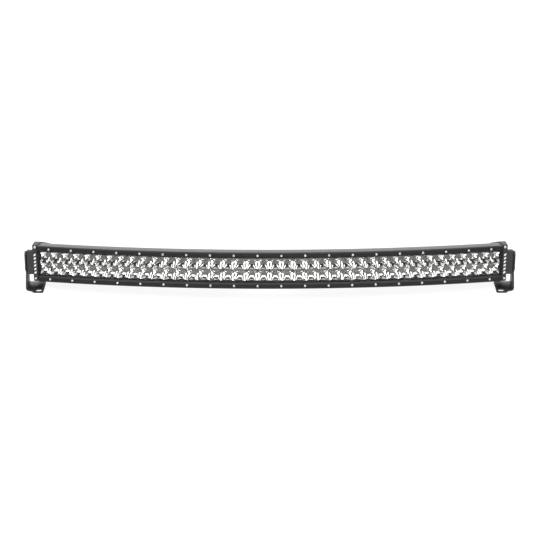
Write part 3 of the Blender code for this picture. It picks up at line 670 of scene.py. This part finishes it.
def bolt_drill(side, y, z):
    rings = [(0, 3 * MM), (BOLT_HOLE_R, 3 * MM), (BOLT_HOLE_R, -21 * MM), (0, -21 * MM)]
    spot = Matrix.Translation((side * BOSS_X, y, z)) @ Matrix.Rotation(side * math.pi / 2, 4, "Y")
    return helper(turned_mesh("bolt_drill", rings, segments=24), spot)


def make_cap(side, label):
    """A cast wedge that closes the bar's slanting end, with a raised seat for the bracket."""
    def half(top):
        return [(0, top - 2.5 * MM), (2.5 * MM, top), (29 * MM, top), (34 * MM, top - 1.4 * MM),
                (CAP_DEPTH - 5 * MM, 25.8 * MM), (CAP_DEPTH, 21 * MM)]

    corners = half(HALF_HEIGHT + CAP_CROWN) + [(d, -z) for d, z in reversed(half(HALF_HEIGHT))]
    front = on_arc(CAP_END, 0, 0).y
    cap = prism("cap", rounded(corners, 3 * MM), lambda d, z: on_arc(side * CAP_START, d, z),
                lambda d, z: Vector((side * CAP_OUTER_X, front + d, z)), 0.9 * MM)
    seat = [(57, -25), (106, -25), (106, 15.5), (70, 28), (67, 28.5), (57, 28.5)]
    boss = prism("boss", rounded([(y * MM, z * MM) for y, z in seat], 2.5 * MM),
                 lambda y, z: Vector((side * (CAP_OUTER_X - 4 * MM), y, z)),
                 lambda y, z: Vector((side * BOSS_X, y, z)), 0.7 * MM)
    tools = [bolt_drill(side, y, z) for y, z in BOLTS.values()]
    tools += [side_drill(side, level) for level in (-1, 1)]
    tools += [front_drill(side, s, height) for s, height in FRONT_SCREWS.values()]
    mesh = carved(f"cap_casting_{label}", helper(cap), *tools, added=[helper(boss)])
    show(f"cap_casting_{label}", mesh, CAST_BLACK, BAR, "light_bar", "cast_metal", f"end_cap_{label}")


def make_cap_screws(side, label):
    side_rings = button_screw(3.6 * MM, 2.5 * MM, 1.6 * MM, 2.0 * MM, 20 * MM)
    front_rings = button_screw(2.7 * MM, 1.8 * MM, 1.25 * MM, 1.5 * MM, 7.5 * MM)
    for name, level in (("upper", 1), ("lower", -1)):
        spot = side_frame(side, level) @ Matrix.Translation((0, 0, 0.1 * MM - SIDE_SEAT))
        show(f"side_screw_{name}_{label}", turned_mesh("side_screw", side_rings), STAINLESS, BAR @ spot,
             "light_bar", "stainless", f"cap_screw_{name}_{label}")
        s, height = FRONT_SCREWS[name]
        spot = front_frame(side * s, height) @ Matrix.Translation((0, 0, GAP))
        show(f"face_screw_{name}_{label}", turned_mesh("face_screw", front_rings), STAINLESS, BAR @ spot,
             "light_bar", "stainless", f"front_screw_{name}_{label}")


def make_mark(side, label):
    """A plain row of slanting enamel dashes down the cap's front edge."""
    count = 6
    pitch = 2 * MARK_HALF / count
    half_width = 2.4 * MM
    half_height = 0.26 * pitch
    slant = 0.16 * pitch
    rise = 0.12 * MM
    inner = on_arc(side * CAP_START, 0, 0)
    outer = Vector((side * CAP_OUTER_X, on_arc(CAP_END, 0, 0).y, 0))
    across = (outer - inner).normalized() * side
    out = Vector((across.y, -across.x, 0))
    bm = bmesh.new()
    for i in range(count):
        middle = (inner + outer) / 2 + Vector((0, 0, (i - (count - 1) / 2) * pitch))
        dash = [(-half_width, -half_height - slant), (half_width, -half_height + slant),
                (half_width, half_height + slant), (-half_width, half_height - slant)]
        add_prism(bm, rounded(dash, 0.5 * MM),
                  lambda a, b: middle + a * across + Vector((0, 0, b)) - rise * out,
                  lambda a, b: middle + a * across + Vector((0, 0, b)) + rise * out)
    show(f"cap_dashes_{label}", finished(bm, "cap_dashes"), MARK_WHITE, BAR, "light_bar", "cast_metal")


# --- brackets -----------------------------------------------------------------------------------
def blank_at(x):
    """Where the foot's point at distance x from the middle of the bar lies on the flat blank."""
    return BEND_TOP - BEND_LENGTH - (PLATE_OUTER_X - PLATE / 2 - MID_R - x)


def bracket_blank():
    """The bracket's flat blank in (y, height): head, neck and, below the bend, the foot."""
    foot_end = blank_at(FOOT_INNER_X)
    head = [(-14, 42.5), (-6, 46.8), (30, 25.5), (33, 17.5), (29, 2), (17.5, -12)]
    neck = [(2, -17), (-4, -29.5)]
    front = [(-36, -28), (-18, 0.5), (-23, 7.5)]
    foot = [(FOOT_BACK_Y, foot_end), (FOOT_FRONT_Y, foot_end),
            (FOOT_FRONT_Y, blank_at(PLATE_OUTER_X - 18 * MM)),
            (-41.5 * MM, blank_at(PLATE_OUTER_X - 13 * MM))]
    return ([(y * MM, z * MM) for y, z in head + neck] + foot + [(y * MM, z * MM) for y, z in front])


def fold(y, height, side):
    """The place of a blank's point once the foot is folded in under the bar."""
    run = BEND_TOP - height
    if run <= 0:
        return Vector((side * (PLATE_OUTER_X - PLATE / 2), y, height))
    angle = min(run / MID_R, math.pi / 2)
    inward = MID_R * (1 - math.cos(angle)) + max(run - BEND_LENGTH, 0)
    return Vector((side * (PLATE_OUTER_X - PLATE / 2 - inward), y, BEND_TOP - MID_R * math.sin(angle)))


def slot_outline(length, width, segments=16):
    """A slot along local X with round ends."""
    reach = (length - width) / 2
    points = []
    for end in (1, -1):
        for step in range(segments + 1):
            angle = math.pi * (step / segments - 0.5)
            points.append((end * (reach + width / 2 * math.cos(angle)),
                           end * width / 2 * math.sin(angle)))
    return points


def arc_slot_outline(radius, width, half_angle, segments=16):
    """A slot with round ends along an arc about the local origin, centred straight above it."""
    points = []
    for sign in (1, -1):
        rim = radius + sign * width / 2
        sweep = [sign * half_angle * (1 - 2 * i / segments) for i in range(segments + 1)]
        points += [(rim * math.sin(a), rim * math.cos(a)) for a in sweep]
        end = Vector((radius * math.sin(sweep[-1]), radius * math.cos(sweep[-1])))
        for step in range(1, segments):
            a = sweep[-1] - math.pi * step / segments
            points.append(tuple(end + sign * width / 2 * Vector((math.sin(a), math.cos(a)))))
    return points


def bracket_sheet(side):
    """The folded blank as a sheet at mid thickness."""
    bm = bmesh.new()
    bm.faces.new([bm.verts.new((y, z, 0)) for y, z in rounded(bracket_blank(), 3.5 * MM, 7)])
    folds = 12
    for i in range(folds + 1):
        line = BEND_TOP - BEND_LENGTH * i / folds
        bmesh.ops.bisect_plane(bm, geom=bm.verts[:] + bm.edges[:] + bm.faces[:], dist=1e-6,
                               plane_co=(0, line, 0), plane_no=(0, 1, 0))
    for vert in bm.verts:
        vert.co = fold(vert.co.x, vert.co.y, side)
    return finished(bm, "bracket_sheet")


def through(outline, thickness=4 * PLATE):
    """A cutter with its outline in local XY."""
    return prism("through", outline, lambda a, b: Vector((a, b, -thickness / 2)),
                 lambda a, b: Vector((a, b, thickness / 2)))


def make_bracket(side, label):
    body = f"{label}_bracket"
    plate = helper(bracket_sheet(side))
    shell = plate.modifiers.new("thickness", "SOLIDIFY")
    shell.thickness = PLATE
    shell.offset = 0
    shell.use_even_offset = True
    across = Matrix(((0, 0, 1, 0), (1, 0, 0, 0), (0, 1, 0, 0), (0, 0, 0, 1)))  # local XY to YZ
    at_plate = Matrix.Translation((side * (PLATE_OUTER_X - PLATE / 2), 0, 0))
    bore = [(BOLT_HOLE_R * math.cos(math.tau * i / 32), BOLT_HOLE_R * math.sin(math.tau * i / 32))
            for i in range(32)]
    lock_slot = arc_slot_outline(LOCK_RADIUS, 2 * BOLT_HOLE_R + 0.4 * MM, LOCK_SLOT_HALF)
    tools = [helper(through(bore), at_plate @ across),
             helper(through(lock_slot), at_plate @ Matrix.Rotation(-LOCK_SLOT_CENTRE, 4, "X") @ across),
             helper(through(slot_outline(14.5 * MM, 9.4 * MM)),
                    Matrix.Translation((side * 505.2 * MM, -39.5 * MM, PLATE / 2 - FOOT_DROP)))]
    mesh = carved(f"bracket_plate_{label}", plate, *tools, bevel=0.35 * MM)
    show(f"bracket_plate_{label}", mesh, STEEL_BLACK, BRACKET, body, "black_steel", f"bracket_{label}")


def make_bolts(side, label):
    """M8 bolts with washers. They stay in the end cap, so they tilt with the bar."""
    thick = 1.2 * MM
    chamfer = 0.15 * MM
    washer = [(8.2 * MM - chamfer, GAP), (8.2 * MM, GAP + chamfer), (8.2 * MM, GAP + thick - chamfer),
              (8.2 * MM - chamfer, GAP + thick), (BOLT_HOLE_R, GAP + thick), (BOLT_HOLE_R, GAP)]
    bolt = button_screw(7.0 * MM, 3.6 * MM, 2.9 * MM, 4.0 * MM, PLATE + thick + 16 * MM)
    for name, (y, z) in BOLTS.items():
        face = (BAR @ Matrix.Translation((side * PLATE_OUTER_X, y, z))
                @ Matrix.Rotation(side * math.pi / 2, 4, "Y"))
        show(f"washer_{name}_{label}", turned_mesh("washer", washer, closed=True, segments=48),
             STAINLESS, face, "light_bar", "stainless", f"{name}_washer_{label}")
        show(f"bolt_{name}_{label}", turned_mesh("bolt", bolt, segments=48), STAINLESS,
             face @ Matrix.Translation((0, 0, GAP + thick + GAP)), "light_bar", "stainless",
             f"{name}_bolt_{label}")


# --- cable gland and vent -----------------------------------------------------------------------
def make_rear_fittings():
    """Nylon fittings on the bare pad. A closed nut blanks the gland. Heights are above their seat."""
    neck = 6.2 * MM
    thread = -5.5 * MM
    collet_r = GLAND_THREAD_R - 1 * MM
    collet_top = 12.6 * MM
    nut_ceiling = 13 * MM + GAP
    gland = [(collet_r, collet_top), (collet_r, neck), (11.0 * MM, neck, 6),
             (11.4 * MM, neck - 0.5 * MM, 6), (11.4 * MM, 0.4 * MM, 6), (11.0 * MM, 0, 6),
             (GLAND_THREAD_R, 0), (GLAND_THREAD_R, thread), (GLAND_BORE_R, thread),
             (GLAND_BORE_R, collet_top)]
    nut = [(0, 16.2 * MM), (4.0 * MM, 16.2 * MM), (4.6 * MM, 17 * MM), (6.2 * MM, 16.8 * MM),
           (7.6 * MM, 15.8 * MM), (9.0 * MM, 14.4 * MM), (9.7 * MM, 13.4 * MM, 6),
           (10.3 * MM, 12.6 * MM, 6), (10.3 * MM, neck + 0.8 * MM, 6), (9.9 * MM, neck + GAP, 6),
           (collet_r + GAP, neck + GAP), (collet_r + GAP, nut_ceiling), (0, nut_ceiling)]
    vent = [(0, 5.2 * MM), (2.6 * MM, 5.2 * MM), (2.8 * MM, 6 * MM), (4.6 * MM, 6 * MM),
            (5.4 * MM, 5.6 * MM), (5.6 * MM, 3.6 * MM), (5.0 * MM, 3.4 * MM), (5.0 * MM, 3.0 * MM),
            (6.9 * MM, 2.8 * MM, 6), (7.0 * MM, 2.6 * MM, 6), (7.0 * MM, 0.2 * MM, 6),
            (6.8 * MM, 0, 6), (VENT_THREAD_R, 0), (VENT_THREAD_R, thread), (0, thread)]
    for name, node, rings, s in (("gland_body", "cable_gland", gland, GLAND_S),
                                 ("gland_cap_nut", "gland_nut", nut, GLAND_S),
                                 ("vent_plug", "breather_vent", vent, VENT_S)):
        spot = BAR @ rear_frame(s) @ Matrix.Translation((0, 0, 2 * GAP))
        mesh = turned_mesh(name, rings, closed=rings[0][0] > 0, segments=48)
        show(name, mesh, NYLON, spot, "light_bar", "nylon", node)


# --- nodes of the frame that stay ---------------------------------------------------------------
def finish_kept_nodes():
    kept = {RUBBER: ("lens_gasket_top", "lens_gasket_bottom", "cap_gasket_left", "cap_gasket_right",
                     "inner_lead"),
            NYLON: ("friction_washer_left", "friction_washer_right"),
            BOARD_GREEN: ("driver_board_left", "driver_board_right"),
            BOARD_WHITE: ("led_board_1", "led_board_2")}
    for material, names in kept.items():
        for name in names:
            mesh = frame["nodes"][name].data
            mesh.materials.clear()
            mesh.materials.append(material)


# --- studio -------------------------------------------------------------------------------------
def soft_box(name, location, target, size, power):
    light = bpy.data.lights.new(name, "AREA")
    light.shape = "RECTANGLE"
    light.size, light.size_y = size
    light.energy = power
    lamp = bpy.data.objects.new(name, light)
    bpy.context.scene.collection.objects.link(lamp)
    lamp.location = location
    lamp.rotation_euler = (Vector(target) - Vector(location)).to_track_quat("-Z", "Y").to_euler()
    return lamp


def make_floor():
    """A wide pale light table: it glows softly, so that shadows on it stay faint."""
    bm = bmesh.new()
    bmesh.ops.create_grid(bm, x_segments=1, y_segments=1, size=40.0)
    floor = bpy.data.objects.new("floor", finished(bm, "floor"))
    bpy.context.scene.collection.objects.link(floor)
    shader = Shader("pale_floor", Specular_IOR_Level=0.0, Roughness=0.9, Emission_Strength=0.86)
    shader.surface.inputs["Emission Color"].default_value = (1, 1, 1, 1)
    shader.colour(shader.noise(400 * MM, 2.0), (0.3, (0.20, 0.20, 0.20)), (0.7, (0.22, 0.22, 0.22)))
    floor.data.materials.append(shader.material)


def make_world():
    """A pale room: bright low down behind the bar, dim above it and in front."""
    world = bpy.data.worlds.new("studio")
    world.use_nodes = True
    nodes = world.node_tree.nodes
    links = world.node_tree.links
    split = nodes.new("ShaderNodeSeparateXYZ")
    links.new(nodes.new("ShaderNodeTexCoord").outputs["Generated"], split.inputs["Vector"])
    behind = nodes.new("ShaderNodeValToRGB")
    links.new(split.outputs["Y"], behind.inputs["Fac"])
    for element, position, level in ((behind.color_ramp.elements[0], 0.0, 0.11),
                                     (behind.color_ramp.elements[1], 0.9, 1.0),
                                     (behind.color_ramp.elements.new(0.4), 0.4, 0.8)):
        element.position = position
        element.color = (level, level, level, 1)
    links.new(behind.outputs["Color"], nodes["Background"].inputs["Color"])
    nodes["Background"].inputs["Strength"].default_value = 2.2
    bpy.context.scene.world = world


def make_camera():
    """The product view: from in front and well above, with a long lens."""
    camera = bpy.data.cameras.new("camera")
    camera.lens = 82.48
    camera.shift_x = 0.0203
    eye = bpy.data.objects.new("camera", camera)
    bpy.context.scene.collection.objects.link(eye)
    turn = [Matrix.Rotation(math.radians(angle), 4, axis) for angle, axis in
            ((0.7074, "Z"), (58.905, "X"), (-0.3919, "Z"))]
    eye.matrix_world = Matrix.Translation((-0.0019, -2.2912, 1.4263)) @ turn[0] @ turn[1] @ turn[2]
    bpy.context.scene.camera = eye


make_camera()
make_floor()
make_world()
soft_box("overhead_softbox", (0, -0.4, 1.7), (0, -0.1, 0), (3.0, 1.7), 42)
soft_box("front_softbox", (0, -2.35, 1.45), (0, -0.05, 0.05), (3.0, 0.45), 22)
soft_box("low_softbox", (0, -3.0, 0.75), (0, -0.05, 0.05), (3.4, 0.22), 9)
bpy.context.scene.view_settings.view_transform = "Standard"

make_housing()
for bezel_label, bezel_level in (("top", 1), ("bottom", -1)):
    make_bezel(bezel_label, bezel_level)
make_lens()
make_optics()
make_emitters()
make_rear_fittings()
for end_side, end_label in ((-1, "left"), (1, "right")):
    make_cap(end_side, end_label)
    make_cap_screws(end_side, end_label)
    make_mark(end_side, end_label)
    make_bracket(end_side, end_label)
    make_bolts(end_side, end_label)
finish_kept_nodes()
